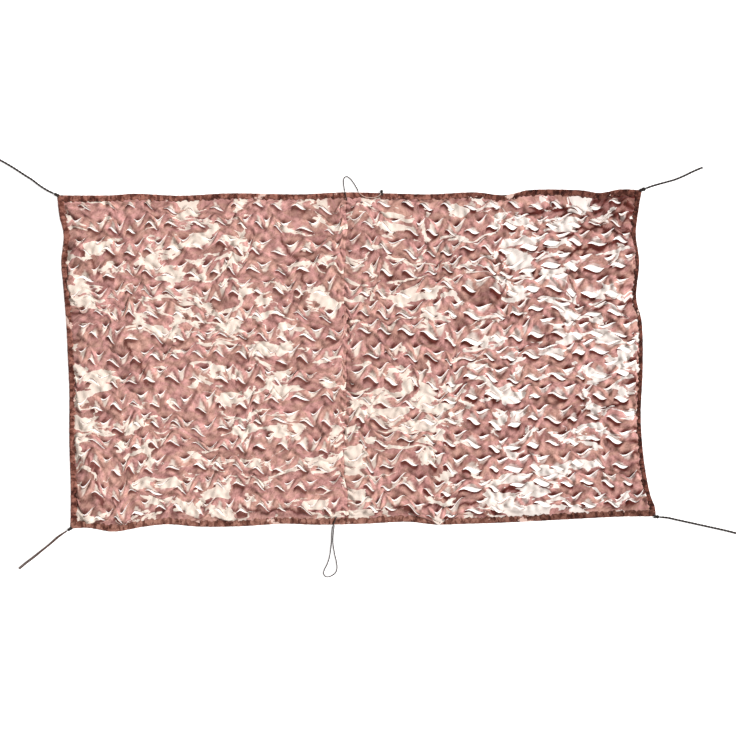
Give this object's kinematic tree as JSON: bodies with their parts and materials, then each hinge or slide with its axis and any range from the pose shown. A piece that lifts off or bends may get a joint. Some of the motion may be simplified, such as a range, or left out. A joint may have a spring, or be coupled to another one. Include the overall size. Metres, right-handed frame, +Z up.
{
  "type": "camouflage net",
  "caption": "Flat leaf-cut cloth net with a folded edge binding, corner ties and a cord loop halfway along each long side.",
  "frame": {"origin": "on the ground, under the middle of the net's bounding box without its ties and loops", "axes": "+X along the long side to the right, +Y across the net to its top edge, +Z up from the ground"},
  "size_m": [3.8722, 2.1473, 0.0354],
  "materials": {
    "printed_cloth": "thin coated polyester weave, desert print in brown and cream, cut into leaves",
    "binding_cloth": "the same printed cloth, doubled and darker, with rows of stitching",
    "brown_cord": "matt twisted cord, dark grey-brown",
    "knot_cord": "matt cord pulled tight, near black"
  },
  "bodies": {
    "root": {"panel_left": "printed_cloth", "panel_right": "printed_cloth", "binding_top": "binding_cloth", "binding_right": "binding_cloth", "binding_bottom": "binding_cloth", "binding_left": "binding_cloth", "tie_top_left": "brown_cord", "tie_top_right": "brown_cord", "tie_bottom_right": "brown_cord", "tie_bottom_left": "brown_cord", "loop_top": "brown_cord", "loop_bottom": "brown_cord", "knot_top_left": "knot_cord", "knot_top_right": "knot_cord", "knot_bottom_right": "knot_cord", "knot_bottom_left": "knot_cord", "end_knot_top_left": "knot_cord", "end_knot_bottom_right": "knot_cord", "stopper_knot": "knot_cord"}
  },
  "joints": []
}
